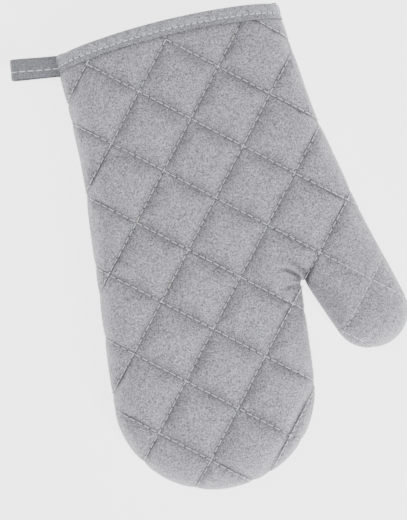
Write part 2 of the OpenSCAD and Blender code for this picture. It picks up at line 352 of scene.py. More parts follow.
# Each corner's arc: its centre, signed radius, and the outward normal's angle at its start and end.
def roundedCorners():
    corners = cornerList()
    arcs = []
    for i in range(1, len(corners) - 1):
        point, radius = corners[i]
        first = headingOf(corners[i - 1][0], point)
        turn = (headingOf(point, corners[i + 1][0]) - first + 180) % 360 - 180
        side = math.copysign(1, turn)
        away = side * radius / math.cos(math.radians(turn / 2))
        centre = np.array(point) - away * unit(first + turn / 2 - 90)
        arcs.append((centre, side * radius, first - 90, first - 90 + turn))
    return arcs


quilting = {
    "pitch": 38, "angle": 48.7, "x": 5.3, "length": 117,
    "top": 2.3, "depth": 2.75, "crease": 0.9, "creaseWidth": 0.55, "ramp": 3.1,
    "backTop": -0.1, "backDepth": 1.7,
    "thumbFade": 0.8, "thumbFadeRun": 22, "pucker": 1.5,
    "stitch": 3.7, "stitchPitch": 5.1, "thread": 0.3, "lift": 1.25, "arch": 0.45, "seed": 7,
    "fineSpacing": 1.9, "coarseSpacing": 4.0, "shuffle": 4,
    "fineSteps": (0, 0.5, 1.15, 2.4, 4.1, 6.0, 8.0, 10.1, 12.3, 14.5, 16.7, 19),
    "coarseSteps": (0, 3.5, 7.5, 11.5, 15.3, 19),
}
arcs = roundedCorners()
crotchCentre = arcs[3][0]
alongCut = unit(quilting["angle"])
acrossCut = unit(quilting["angle"] - 90)


# Points round the outline with their outward normals.
# One station is on the cut line at the crotch, another on it at the far side.
def makeStations(spacing):
    corners = cornerList()
    stations = []
    last = np.array(corners[0][0], float)
    for i, (centre, radius, start, end) in enumerate(arcs):
        begin = centre + radius * unit(start)
        addStraight(stations, last, begin, start, spacing, i == 7)
        stops = [start, end]
        if i == 3:
            stops = [start, quilting["angle"] - 180, end]
        for a, b in zip(stops, stops[1:]):
            size = abs(radius) if radius > 0 else abs(radius) + 6
            count = max(1, round(math.radians(abs(b - a)) * size / spacing))
            for k in range(count):
                angle = a + (b - a) * k / count
                isCut = i == 3 and a != start and k == 0
                stations.append((centre + radius * unit(angle), angle, 0.0, isCut))
        last = centre + radius * unit(end)
        lastAngle = end
    addStraight(stations, last, np.array(corners[-1][0], float), lastAngle, spacing, False)
    stations.append((np.array(corners[-1][0], float), lastAngle, 0.0, False))
    return stations


def addStraight(stations, a, b, angle, spacing, crossesCut):
    length = np.linalg.norm(b - a)
    stops = [0.0, 1.0]
    if crossesCut:
        hit = np.dot(crotchCentre - a, acrossCut) / np.dot(b - a, acrossCut)
        stops = [0.0, hit, 1.0]
    for f, g in zip(stops, stops[1:]):
        count = max(1, round(length * (g - f) / spacing))
        for k in range(count):
            share = f + (g - f) * k / count
            slide = 0.0
            if crossesCut:
                slide = max(0.0, 1 - abs(share - hit) * length / 26)
            stations.append((a + (b - a) * share, angle, slide, crossesCut and f > 0 and k == 0))


def smooth(t):
    t = np.clip(t, 0, 1)
    return t * t * (3 - 2 * t)


def insidePolygon(points, loop):
    inside = np.zeros(len(points), bool)
    for (x1, y1), (x2, y2) in zip(loop, np.roll(loop, -1, axis=0)):
        crosses = (y1 > points[:, 1]) != (y2 > points[:, 1])
        with np.errstate(divide="ignore", invalid="ignore"):
            x = (x2 - x1) * (points[:, 1] - y1) / (y2 - y1) + x1
        inside ^= crosses & (points[:, 0] < x)
    return inside


# Where plan points lie in the quilting grid: along and across the first family of lines.
def quiltPlace(points):
    corner = np.array([quilting["x"], -quilting["length"]], float)
    return (points - corner) @ alongCut, (points - crotchCentre) @ acrossCut


def toLine(value):
    pitch = quilting["pitch"]
    return value - pitch * np.round(value / pitch)


bindingSizes = {
    "width": 10.6, "thickness": 1.0, "stitchAt": 6.6, "stitch": 2.9, "stitchPitch": 4.2,
    "thread": 0.34, "arch": 0.3, "seed": 11, "lift": 0.25,
    "proud": 0.45, "sunk": 0.1, "sideRun": 34, "acrossRun": 104,
}
rim = {"seamRoll": 26, "puffShare": 0.32, "pinch": 0.5, "angle": 38, "rollRun": 45, "fineSides": 4, "coarseSides": 3}
# Each fold has a crease line from the crotch, and waves beside it: how far to its left, how wide and how high.
crotchWrinkles = (
    {
        "line": ((-0.8, 0.3), (-2.8, 5.2), (-6.3, 8.7), (-10.5, 11.3), (-20, 12.3)), "reach": 9,
        "waves": ((0, 1.0, -3.0), (-2.2, 1.3, 1.5), (-5.0, 1.8, -1.7), (4.6, 3.4, 1.2)),
    },
    {
        "line": ((-1.5, -0.8), (-8, -0.8), (-15.7, -1.3), (-22, 1)), "reach": 6,
        "waves": ((0, 1.4, -1.6), (-2.5, 1.4, 1.3)),
    },
    {
        "line": ((1.6, 0.3), (8.6, 8.6), (14.5, 14.8)), "reach": 4,
        "waves": ((0, 1.0, -1.3), (-2.6, 1.6, 0.8)),
    },
)
foldRows = (-3.4, -2.4, -1.5, -0.7, 0, 0.7, 1.5, 2.4, 3.4)


# The plan of the mitt as rings along the rim and a grid inside them that follows the quilting lines.
class Net:
    def __init__(self, offsets, spacing, rings, hasFolds=False):
        self.hasFolds = hasFolds
        self.rings = rings
        self.rimAngle = math.radians(rim["angle"])
        self.spacing = spacing
        whole = sorted(set(offsets) | {quilting["pitch"] - v for v in offsets if v})
        self.stops = np.array([k * quilting["pitch"] + v for k in range(-8, 8) for v in whole])
        self.readStations(makeStations(spacing))
        self.edge = padding["edgeWidth"]
        self.lastInset = self.edge * (1 - math.cos(self.rimAngle))
        self.fillInside(self.ringAt(np.full(self.count, self.lastInset)))
        self.assemble()

    def readStations(self, stations):
        self.count = len(stations)
        self.point = np.array([s[0] for s in stations])
        self.normal = np.array([unit(s[1]) for s in stations])
        self.tangent = np.stack([-self.normal[:, 1], self.normal[:, 0]], 1)
        self.slide = np.array([s[2] for s in stations])
        self.cuts = [i for i, s in enumerate(stations) if s[3]]
        with np.errstate(divide="ignore", invalid="ignore"):
            rate = (self.normal @ acrossCut) / (self.tangent @ acrossCut)
        self.rate = np.where(self.slide > 0, rate, 0)
        self.along = np.concatenate([[0], np.cumsum(np.linalg.norm(np.diff(self.point, axis=0), axis=1))])
        root, finger = (
            self.along[np.argmin(np.linalg.norm(self.point - np.array(spot), axis=1))]
            for spot in ((outline["rootX"] + 8, -190), (20, -280))
        )
        crotch = self.along[self.cuts[0]]
        # The seam rolls onto the palm side between the thumb and the cuff, and down the fingers' inner edge.
        self.roll = math.radians(rim["seamRoll"]) * (
            smooth((self.along - root) / rim["rollRun"])
            + 0.8 * smooth((self.along - finger) / 40) * smooth((crotch - 3 - self.along) / 8)
        )

    # The outline moved in by one distance for each station, with both ends on the arched cuff edge.
    def ringAt(self, insets):
        points = self.point - insets[:, None] * self.normal
        points += (self.slide * self.rate * insets)[:, None] * self.tangent
        for end in (0, -1):
            step = self.tangent[end] / self.tangent[end][1]
            for _ in range(4):
                points[end] += step * (archHeight(points[end][0]) - bindingSizes["thickness"] - points[end][1])
        return points

    def fillInside(self, ring):
        right, left = ring[-1][0], ring[0][0]
        xs = np.linspace(right, left, round((right - left) / self.spacing) + 1)[1:-1]
        top = np.array([(x, archHeight(x) - bindingSizes["thickness"]) for x in xs])
        loop = np.concatenate([ring, top])
        corner = np.array([quilting["x"], -quilting["length"]], float)
        shift = (crotchCentre - corner) @ alongCut
        column, row = np.meshgrid(np.arange(len(self.stops)), np.arange(len(self.stops)))
        column, row = column.ravel(), row.ravel()
        along, across = self.stops[row] - shift, self.stops[column]
        grid = crotchCentre + along[:, None] * alongCut + across[:, None] * acrossCut
        keep = insidePolygon(grid, loop)
        grid, column, row = grid[keep], column[keep], row[keep]
        far = np.full(len(grid), 1e9)
        for a, b in zip(loop, np.roll(loop, -1, axis=0)):
            ab = b - a
            t = np.clip(((grid - a) @ ab) / (ab @ ab), 0, 1)
            far = np.minimum(far, ((grid - a - t[:, None] * ab) ** 2).sum(1))
        keep = far > (0.45 * self.spacing) ** 2
        grid, column, row = grid[keep], column[keep], row[keep]
        if self.hasFolds:
            extra = self.foldPoints(loop)
            clear = np.linalg.norm(grid[:, None] - extra[None], axis=2).min(1) > 0.9
            for stop in (self.stops[row] - shift, self.stops[column]):
                clear |= np.abs(toLine(stop)) < 0.3
            grid, column, row = grid[clear], column[clear], row[clear]
            grid = np.concatenate([grid, extra])
            column = np.concatenate([column, np.full(len(extra), -99)])
            row = np.concatenate([row, np.full(len(extra), -99)])
        self.inner = np.concatenate([loop, grid])
        cutColumn = np.argmin(np.abs(self.stops))
        beyond = (column == cutColumn) & (grid[:, 0] > crotchCentre[0] - 1)
        onCut = [len(loop) + i for i in np.nonzero(beyond)[0]]
        onCut.sort(key=lambda i: self.inner[i] @ alongCut)
        chain = [self.cuts[0]] + onCut + [self.cuts[1]]
        edges = [(i, (i + 1) % len(loop)) for i in range(len(loop))] + list(zip(chain, chain[1:]))
        found = delaunay_2d_cdt([Vector(p) for p in self.inner], edges, [], 1, 1e-4)
        source = [ids[0] for ids in found[3]]
        cell = np.column_stack([column, row])
        self.faces = self.pairTriangles([tuple(source[i] for i in face) for face in found[2]], cell, len(loop))

    # Rows of points beside the crease of each fold at the crotch, which keep it sharp.
    def foldPoints(self, loop):
        found = []
        for fold in crotchWrinkles[:2]:  # the third lies along a quilting line, which has its own points
            line = np.array(fold["line"], float) + crotchCentre
            steps = np.concatenate([[0], np.cumsum(np.linalg.norm(np.diff(line, axis=0), axis=1))])
            for at in np.arange(1.5, steps[-1], 1.5):
                behind, place, ahead = (
                    np.array([np.interp(at + shift, steps, line[:, k]) for k in range(2)])
                    for shift in (-1, 0, 1)
                )
                way = (ahead - behind) / np.linalg.norm(ahead - behind)
                for off in foldRows:
                    spot = place + off * np.array([-way[1], way[0]])
                    if all(np.linalg.norm(spot - other) > 0.55 for other in found):
                        found.append(spot)
        found = np.array(found)
        rows, columns = quiltPlace(found)
        gap = np.array([np.linalg.norm(loop - spot, axis=1).min() for spot in found])
        offLines = (np.abs(toLine(rows)) > 0.9) & (np.abs(toLine(columns)) > 0.9)
        return found[insidePolygon(found, loop) & (gap > 0.8) & offLines]

    # Joins two triangles across the diagonal of each grid square, so the faces follow the weave.
    def pairTriangles(self, triangles, cell, first):
        faces, waiting = {}, {}
        for number, tri in enumerate(triangles):
            faces[number] = tri
            for k in range(3):
                a, b, tip = tri[k], tri[(k + 1) % 3], tri[(k + 2) % 3]
                if min(a, b) < first or np.abs(cell[a - first] - cell[b - first]).tolist() != [1, 1]:
                    continue
                key = (min(a, b), max(a, b))
                if key in waiting:
                    other, otherTip = waiting.pop(key)
                    faces[number] = (tip, a, otherTip, b)
                    del faces[other]
                else:
                    waiting[key] = (number, tip)
                break
        return list(faces.values())

    # Puts the front and back panels together into one skin that is open only at the cuff.
    def assemble(self):
        n, k, m = self.count, self.rings, len(self.inner)
        self.frontStart = k * n
        self.backStart = self.frontStart + m
        self.backInner = self.backStart + (k - 1) * n
        total = self.backInner + m
        self.total = total
        self.plan = np.zeros((total, 2))
        self.angle = np.zeros(total)
        self.way = np.zeros((total, 2))
        self.isFront = np.arange(total) < self.backStart
        self.ringNumber = np.full(total, k)
        frontRows, backRows = [], []
        for j in range(k):
            front = self.roll + (self.rimAngle - self.roll) * j / k
            back = self.roll - (self.rimAngle + self.roll) * (j / k) ** 2.2
            backRow = self.backStart + (j - 1) * n
            for rows, angle, start in ((frontRows, front, j * n), (backRows, back, backRow)):
                if j == 0 and rows is backRows:
                    rows.append(np.arange(n))
                    continue
                spot = slice(start, start + n)
                self.plan[spot] = self.ringAt(self.edge * (1 - np.cos(angle)))
                self.angle[spot] = angle
                self.way[spot] = -self.normal
                self.ringNumber[spot] = j
                rows.append(np.arange(start, start + n))
        inset, way = self.insetOf(self.inner)
        angle = np.arccos(np.clip(1 - inset / self.edge, 0, 1))
        for start, side in ((self.frontStart, 1), (self.backInner, -1)):
            spot = slice(start, start + m)
            self.plan[spot] = self.inner
            self.angle[spot] = side * angle
            self.way[spot] = way
        frontRows.append(np.arange(self.frontStart, self.frontStart + n))
        backRows.append(np.arange(self.backInner, self.backInner + n))
        quads = []
        for rows, side in ((frontRows, 1), (backRows, -1)):
            for a, b in zip(rows, rows[1:]):
                quads += [(a[i], a[i + 1], b[i + 1], b[i])[::side] for i in range(n - 1)]
        for start, side in ((self.frontStart, 1), (self.backInner, -1)):
            quads += [tuple(start + v for v in face)[::side] for face in self.faces]
        self.skin = [tuple(int(v) for v in q) for q in quads]
        self.inset, nothing = self.insetOf(self.plan)
        centre = np.array([self.plan[list(f)].mean(0) for f in self.skin])
        self.onThumb = ((centre - crotchCentre) @ acrossCut > 0) & (centre[:, 0] > crotchCentre[0])
        rows, columns = quiltPlace(self.plan)
        self.toRow, self.toColumn = toLine(rows), toLine(columns)
        beyond = (self.plan - crotchCentre) @ acrossCut * (self.plan[:, 0] > crotchCentre[0] - 0.5)
        self.quilted = 1 - quilting["thumbFade"] * smooth((beyond - 2) / quilting["thumbFadeRun"])
        self.belowEdge = np.array([archHeight(np.clip(x, -76, 76)) for x in self.plan[:, 0]]) - self.plan[:, 1]

    # How far plan points lie in from the outline, and the way in.
    def insetOf(self, points):
        first = self.point[0] + 30 * self.tangent[0] * -1
        last = self.point[-1] + 30 * self.tangent[-1]
        line = np.concatenate([[first], self.point, [last]])
        best = np.full(len(points), 1e9)
        way = np.zeros((len(points), 2))
        for a, b in zip(line, line[1:]):
            ab = b - a
            t = np.clip(((points - a) @ ab) / (ab @ ab), 0, 1)
            off = points - (a + t[:, None] * ab)
            dist = np.sqrt((off ** 2).sum(1))
            closer = dist < best
            best[closer] = dist[closer]
            way[closer] = off[closer] / np.maximum(dist[closer], 1e-9)[:, None]
        return best, way

    # The skin in space, raised from the pattern's surface by a distance for each point.
    def lift(self, raised):
        rise = np.where(self.angle >= 0, padding["palmRise"], padding["seamHeight"])
        out = raised * np.cos(self.angle)
        z = padding["seamHeight"] + (rise + raised) * np.sin(self.angle)
        return np.column_stack([self.plan - out[:, None] * self.way, z])


# Unit normals at the points, from the faces round each.
def faceNormals(points, faces):
    normal = np.zeros_like(points)
    for size in (3, 4):
        group = np.array([f for f in faces if len(f) == size])
        if len(group) == 0:
            continue
        corner = points[group]
        across = corner[:, 2] - corner[:, 0]
        other = corner[:, -1] - corner[:, 1] if size == 4 else corner[:, 2] - corner[:, 1]
        cross = np.cross(across, other) if size == 4 else np.cross(corner[:, 1] - corner[:, 0], across)
        for k in range(size):
            np.add.at(normal, group[:, k], cross)
    return normal / np.maximum(np.linalg.norm(normal, axis=1), 1e-12)[:, None]


# Soft noise between about -1 and 1, with one scale for each direction.
def noiseAt(points, scale, seed):
    place = points * np.asarray(scale) + seed * 17.3
    return np.array([noise.noise(Vector(p)) for p in place])


print("stage: nets")
fine = Net(quilting["fineSteps"], quilting["fineSpacing"], rim["fineSides"], hasFolds=True)
coarse = Net(quilting["coarseSteps"], quilting["coarseSpacing"], rim["coarseSides"])


# 0 on the quilting lines, close to 1 in the middle of each pad.
def pillow(net, ramp):
    u, v = np.abs(net.toColumn), np.abs(net.toRow)
    return (1 - np.exp(-u / ramp)) * (1 - np.exp(-v / ramp))


# Sinks the surface below the binding's outer leg.
def underBinding(net, raised, depth):
    hold = smooth((bindingSizes["width"] + 2.5 - net.belowEdge) / 4)
    return raised * (1 - hold) - depth * hold


# How far the outer cloth stands from the pattern's surface: puffed pads, with a sharp crease along each row.
def quiltedRise(net):
    q = quilting
    u, v = np.abs(net.toColumn), np.abs(net.toRow)
    crease = np.exp(-u / q["creaseWidth"]) + np.exp(-v / q["creaseWidth"])
    soft = 1 - pillow(net, q["ramp"])
    front = q["top"] - net.quilted * (q["depth"] * soft + q["crease"] * np.minimum(crease, 1))
    flatter = 1 - pillow(net, q["ramp"] * 0.8)
    back = q["backTop"] - net.quilted * (q["backDepth"] * flatter + q["crease"] * np.minimum(crease, 1))
    raised = np.where(net.isFront, front, back)
    raised = raised * (rim["puffShare"] + (1 - rim["puffShare"]) * smooth(net.inset / 14))
    raised = raised - rim["pinch"] * np.where(net.ringNumber == 0, 1, np.where(net.ringNumber == 1, 0.25, 0))
    return raised


# The cloth gathers into folds that run out from the crotch across the palm.
def crotchFolds(net):
    lift = np.zeros(net.total)
    for fold in crotchWrinkles:
        line = np.array(fold["line"], float) + crotchCentre
        steps = np.concatenate([[0], np.cumsum(np.linalg.norm(np.diff(line, axis=0), axis=1))])
        best = np.full(net.total, 1e9)
        signed = np.zeros(net.total)
        share = np.zeros(net.total)
        for a, b, start in zip(line, line[1:], steps):
            ab = b - a
            t = np.clip(((net.plan - a) @ ab) / (ab @ ab), 0, 1)
            off = net.plan - (a + t[:, None] * ab)
            dist = np.linalg.norm(off, axis=1)
            closer = dist < best
            best[closer] = dist[closer]
            turn = np.sign(ab[0] * off[:, 1] - ab[1] * off[:, 0])
            signed[closer] = (dist * turn)[closer]
            share[closer] = ((start + t * np.linalg.norm(ab)) / steps[-1])[closer]
        fade = (1 - smooth(share)) * np.exp(-np.maximum(0, best - fold["reach"]))
        spread = 0.8 + 0.7 * share
        for off, width, height in fold["waves"]:
            lift += height * fade * np.exp(-((signed - off * spread) / (width * spread)) ** 2)
    return lift * net.isFront


# Soft slack in the pads, and small puckers along the stitch lines.
def creases(net):
    place = np.column_stack([net.plan, np.where(net.isFront, 0, 300)])
    slack = noiseAt(place, (0.055, 0.03, 1), 1.0) * 0.35 + noiseAt(place, (0.1, 0.14, 1), 2.0) * 0.16
    u, v = np.abs(net.toColumn), np.abs(net.toRow)
    rows, columns = quiltPlace(net.plan)
    pucker = np.zeros(net.total)
    for near, along in ((u, rows), (v, columns)):
        ripple = noiseAt(np.column_stack([along, near * 0.25, place[:, 2]]), (0.21, 0.3, 1), 3.0)
        pucker += ripple * near * np.exp(-near / 2.2) * 0.5
    return (slack * pillow(net, 3.0) + pucker * quilting["pucker"]) * smooth(net.inset / 6)


# A finished piece at the origin, with smooth faces.
def meshObject(name, points, faces, material, valley=None, sharp=()):
    mesh = bpy.data.meshes.new(name)
    mesh.from_pydata(toWorld(points).tolist(), [], faces)
    mesh.materials.append(material)
    mesh.polygons.foreach_set("use_smooth", np.ones(len(mesh.polygons), bool))
    # Optional painted shade values, stored as a point attribute that darkens the cloth's colour.
    if valley is not None:
        layer = mesh.attributes.new("valley", "FLOAT", "POINT")
        layer.data.foreach_set("value", np.asarray(valley, np.float32))
    if len(sharp):
        keys = {(min(e.vertices), max(e.vertices)): e.index for e in mesh.edges}
        flags = np.zeros(len(mesh.edges), bool)
        for a, b in sharp:
            flags[keys[(min(a, b), max(a, b))]] = True
        layer = mesh.attributes.new("sharp_edge", "BOOLEAN", "EDGE")
        layer.data.foreach_set("value", flags)
    mesh.validate()
    obj = bpy.data.objects.new(name, mesh)
    bpy.context.collection.objects.link(obj)
    return obj


# Cloth with a thickness: an outer surface, an inner one, and walls along every open edge.
def closedLayer(name, outer, inner, faces, material, valley=None):
    used = np.unique(np.concatenate([np.array(f) for f in faces]))
    renumber = np.full(len(outer), -1)
    renumber[used] = np.arange(len(used))
    count = len(used)
    top = [tuple(int(renumber[v]) for v in f) for f in faces]
    under = [tuple(v + count for v in f[::-1]) for f in top]
    seen = set()
    for f in top:
        for a, b in zip(f, f[1:] + f[:1]):
            seen.add((a, b))
    border = [(a, b) for a, b in seen if (b, a) not in seen]
    walls = [(b, a, a + count, b + count) for a, b in border]
    points = np.concatenate([outer[used], inner[used]])
    shade = None if valley is None else np.concatenate([valley[used], valley[used]])
    sharp = border + [(a + count, b + count) for a, b in border]
    return meshObject(name, points, top + under + walls, material, shade, sharp)


def splitFaces(net, thumb):
    return [f for f, side in zip(net.skin, net.onThumb) if bool(side) == thumb]


# Painted shade for the shell cloth, one value for each point: darker along the creases of the quilting lines, in the
# crotch folds' creases, in the seam groove round the rim, and just below the binding's lower edge.
def valleyShade(net):
    near = np.minimum(np.abs(net.toColumn), np.abs(net.toRow))
    shade = (0.55 * np.exp(-(near / 0.8) ** 2) + 0.45 * np.exp(-(near / 2.8) ** 2)) * net.quilted
    shade = np.maximum(shade, np.clip(-1.3 * crotchFolds(net), 0, 1.4))
    seam = np.where(net.ringNumber == 0, 1.4, np.where((net.ringNumber == 1) & net.isFront, 1, 0))
    shade = np.maximum(shade, seam * (np.abs(net.angle) > 0.06))
    binding = 0.9 * np.exp(-((net.belowEdge - bindingSizes["width"]) / 0.8) ** 2)
    return np.clip(np.maximum(shade, binding), 0, 1.4)


def makeLayer(name, net, outer, thickness, material, valley=None):
    normal = faceNormals(outer, net.skin)
    inner = outer - normal * thickness
    made = []
    for thumb in (False, True):
        title = ("thumb_" if thumb else "hand_") + name
        made.append(closedLayer(title, outer, inner, splitFaces(net, thumb), material, valley))
    return made


settling = {
    "steps": (0, 1.9, 3.8, 5.7, 7.6, 9.5, 11.4, 13.3, 15.2, 17.1, 19),
    "slack": 0.05, "pressure": 2.5, "bending": 0.04,
    "frames": 18, "most": 2.5, "scale": 0.01, "quality": 4, "mass": 0.15, "stretch": 12, "shear": 4,
    "spacing": 2.2, "sides": 3,
}


# Blender's cloth, ten times full size, pinned along the stitches and puffed from inside,
# so that the slack cloth wrinkles.
def settledSkin(net, start):
    scale = settling["scale"]
    mesh = bpy.data.meshes.new("settling")
    mesh.from_pydata((start * scale).tolist(), [], net.skin)
    obj = bpy.data.objects.new("settling", mesh)
    bpy.context.collection.objects.link(obj)
    near = np.minimum(np.abs(net.toColumn), np.abs(net.toRow))
    held = (near < 0.8) | (net.ringNumber < 3) | (net.belowEdge < bindingSizes["width"] + 3)
    group = obj.vertex_groups.new(name="stitched")
    group.add([int(i) for i in np.nonzero(held)[0]], 1.0, "REPLACE")
    cloth = obj.modifiers.new("cloth", "CLOTH")
    settings = cloth.settings
    settings.quality = settling["quality"]
    settings.mass = settling["mass"]
    settings.tension_stiffness = settling["stretch"]
    settings.compression_stiffness = settling["stretch"]
    settings.shear_stiffness = settling["shear"]
    settings.bending_stiffness = settling["bending"]
    settings.shrink_min = -settling["slack"]
    settings.vertex_group_mass = "stitched"
    settings.use_pressure = True
    settings.uniform_pressure_force = settling["pressure"]
    settings.effector_weights.gravity = 0
    cloth.collision_settings.use_collision = False
    cloth.point_cache.frame_start = 1
    cloth.point_cache.frame_end = settling["frames"]
    scene = bpy.context.scene
    for frameNumber in range(1, settling["frames"] + 1):
        scene.frame_set(frameNumber)
    graph = bpy.context.evaluated_depsgraph_get()
    moved = np.empty(len(start) * 3)
    obj.evaluated_get(graph).data.vertices.foreach_get("co", moved)
    bpy.data.objects.remove(obj, do_unlink=True)
    scene.frame_set(1)
    shift = moved.reshape(-1, 3) / scale - start
    size = np.linalg.norm(shift, axis=1)
    return shift * np.minimum(1, settling["most"] / np.maximum(size, 1e-9))[:, None]


# Reads a field on one net at the points of another, side by side on the plan.
def carryOver(net, field, target):
    result = np.zeros((target.total, 3))
    for front in (True, False):
        faces = [f for f in net.skin if net.isFront[f[2]] == front and net.isFront[f[1]] == front or
                 (not front and not all(net.isFront[list(f)]))]
        flat = [Vector((x, y, 0)) for x, y in net.plan]
        tree = BVHTree.FromPolygons(flat, faces)
        for i in np.nonzero(target.isFront == front)[0]:
            x, y = target.plan[i]
            spot, nothing, number, distance = tree.find_nearest(Vector((x, y, 0)))
            face = faces[number]
            weights = poly_3d_calc([flat[v] for v in face], spot)
            result[i] = np.asarray(weights) @ field[list(face)]
    return result


clothDepth = bindingSizes["thickness"] + bindingSizes["sunk"]
fineRise = quiltedRise(fine) + crotchFolds(fine) * smooth(fine.inset / 1.6) + creases(fine)
fineRise = underBinding(fine, fineRise, clothDepth)
skinPoints = fine.lift(fineRise)
rough = Net(settling["steps"], settling["spacing"], settling["sides"])
roughRise = underBinding(rough, quiltedRise(rough) + creases(rough), clothDepth)
skinPoints += carryOver(rough, settledSkin(rough, rough.lift(roughRise)), fine)
print("stage: cloth settled")
skinPoints[:, 2] = np.maximum(skinPoints[:, 2], 0.02)
print("stage: quilted surface,", len(skinPoints), "points,", len(fine.skin), "faces")
shells = makeLayer("shell", fine, skinPoints, padding["shell"], cloths["silver cloth"], valleyShade(fine))


def liningRise(net):
    base = padding["shell"] + padding["wadding"]
    raised = -base + 1.2 * (1 - pillow(net, 5.0)) * smooth(net.inset / 12)
    hold = smooth((bindingSizes["width"] + 2.5 - net.belowEdge) / 4)
    return raised * (1 - hold) - (wallThickness - bindingSizes["thickness"] - padding["lining"] - 0.1) * hold


liningPoints = coarse.lift(liningRise(coarse))
linings = makeLayer("lining", coarse, liningPoints, padding["lining"], cloths["lining cotton"])
coarseRise = underBinding(coarse, quiltedRise(coarse), clothDepth)
folded = 2.0 * np.exp(-(np.linalg.norm(coarse.plan - crotchCentre, axis=1) / 24) ** 2) * coarse.isFront
waddingTop = coarse.lift(np.minimum(coarseRise - 0.5, 0.4) - padding["shell"] - 0.25 - folded)
waddingUnder = coarse.lift(liningRise(coarse) + 0.2)
waddings = [
    closedLayer(title, waddingTop, waddingUnder, splitFaces(coarse, thumb), cloths["wadding"])
    for title, thumb in (("hand_wadding", False), ("thumb_wadding", True))
]
print("stage: shells, waddings and linings")


# The mitt's side line at the cuff, for a height on the plan.
def sideX(y, right):
    end = -1 if right else 0
    return fine.point[end][0] + (y - fine.point[end][1]) * fine.tangent[end][0] / fine.tangent[end][1]


# A point of the mouth's wall, from its part of the way round and its distances below the edge and into the wall.
def mouthPoint(part, value, below, depth):
    edge = padding["edgeWidth"]
    x = 0.0
    for _ in range(4):
        y = archHeight(x) - below
        left, right = sideX(y, False), sideX(y, True)
        if part == "left":
            x = left + edge * (1 - math.cos(value))
        elif part == "right":
            x = right - edge * (1 - math.cos(value))
        else:
            x = left + edge + (right - left - 2 * edge) * value
    angle = {"left": value, "right": value, "front": math.pi / 2, "back": -math.pi / 2}[part]
    inwards = {"left": 1, "right": -1, "front": 0, "back": 0}[part]
    rise = padding["palmRise"] if angle >= 0 else padding["seamHeight"]
    z = padding["seamHeight"] + (rise - depth) * math.sin(angle)
    return (x + inwards * depth * math.cos(angle), y, z)


# Steps once round the mouth: up the left edge, across the front, down the right edge and back underneath.
def mouthPath(step):
    quarter = math.pi / 2
    turns = max(6, round(bindingSizes["sideRun"] / step))
    across = max(10, round(bindingSizes["acrossRun"] / step))
    path = [("left", -quarter + 2 * quarter * k / (2 * turns)) for k in range(2 * turns)]
    path += [("front", k / across) for k in range(across)]
    path += [("right", quarter - 2 * quarter * k / (2 * turns)) for k in range(2 * turns)]
    path += [("back", 1 - k / across) for k in range(across)]
    return path


# The tape's section as distances below the edge and into the wall, from the outer leg's lower edge
# round to the inner leg.
def bindingProfile():
    b = bindingSizes
    width, stitchAt, t = b["width"], b["stitchAt"], b["thickness"]
    out = -b["proud"]
    deep = wallThickness
    return [
        (width - 0.1, t * 0.75), (width + 0.1, 0.45), (width - 0.15, 0.1), (width - 0.9, 0),
        (stitchAt + 2.1, 0.05), (stitchAt + 0.9, 0.2), (stitchAt, 0.2), (stitchAt - 0.7, out * 0.6),
        (stitchAt - 1.6, out), (2.8, out * 1.1), (1.3, out * 0.8), (0.4, 0.1),
        (0.05, 1.0), (0.0, deep * 0.5), (0.2, deep - 1.1), (0.8, deep - 0.25), (2.0, deep + 0.12),
        (4.6, deep + 0.2),
        (stitchAt, deep - 0.1), (width - 0.6, deep + 0.1), (width, deep - 0.3), (width - 0.05, deep - t + 0.1),
        (stitchAt, deep - t), (2.2, deep - t), (1.35, deep - t - 0.5), (1.1, deep * 0.5), (1.35, t + 0.5),
        (2.2, t), (stitchAt, t), (width - 0.4, t),
    ]


def makeBinding():
    profile = bindingProfile()
    path = mouthPath(0.55)
    points = []
    arc = 0.0
    last = None
    for part, value in path:
        mid = np.array(mouthPoint(part, value, 5, 0))
        if last is not None:
            arc += np.linalg.norm(mid - last)
        last = mid
        beat = math.cos(2 * math.pi * arc / bindingSizes["stitchPitch"])
        drift = noise.noise(Vector((arc * 0.05, 3.1, 0.4)))
        for k, (below, depth) in enumerate(profile):
            wave = 0.0
            low = 0.0
            if k < 12:
                near = math.exp(-((below - bindingSizes["stitchAt"]) / 1.8) ** 2)
                wave = 0.13 * beat * near + 0.18 * noise.noise(Vector((arc * 0.22, below * 0.35, 7.0)))
                low = 0.35 * drift * (k < 5) + 0.12 * noise.noise(Vector((arc * 0.3, 1.0, 9.0))) * (k < 5)
            points.append(mouthPoint(part, value, below + low, depth + wave))
    size = len(profile)
    turns = len(path)
    faces = []
    for i in range(turns):
        for k in range(size):
            a = i * size + k
            b = i * size + (k + 1) % size
            c = ((i + 1) % turns) * size + (k + 1) % size
            d = ((i + 1) % turns) * size + k
            faces.append((a, b, c, d))
    # Painted shade on the tape: darkest at its lower folded edge, with a lighter band of shade on the strip below
    # the stitch row.
    valley = np.zeros(len(points))
    for i in range(turns):
        valley[i * size:i * size + 7] = (1.0, 1.0, 0.6, 0.28, 0.3, 0.42, 0.35)
    points = np.array(points)
    points[:, 2] = np.maximum(points[:, 2], 0.02)
    return meshObject("cuff_binding_tape", points, faces, cloths["binding cloth"], valley)


binding = makeBinding()


loopSizes = {
    "width": 13, "length": 34.2, "thickness": 1.0, "foldRadius": 3.7, "tilt": 8.4, "drop": 9.0,
    "stitchAt": -2.0, "stitch": 4.2, "stitchPitch": 5.6, "thread": 0.34, "arch": 0.3, "seed": 31, "lift": 0.1,
    "layerShift": 0.9, "foldWave": 0.35,
}
loopRoot = np.array([-outline["cuffWidth"] / 2 + 3.5, -loopSizes["drop"] + 0.4])


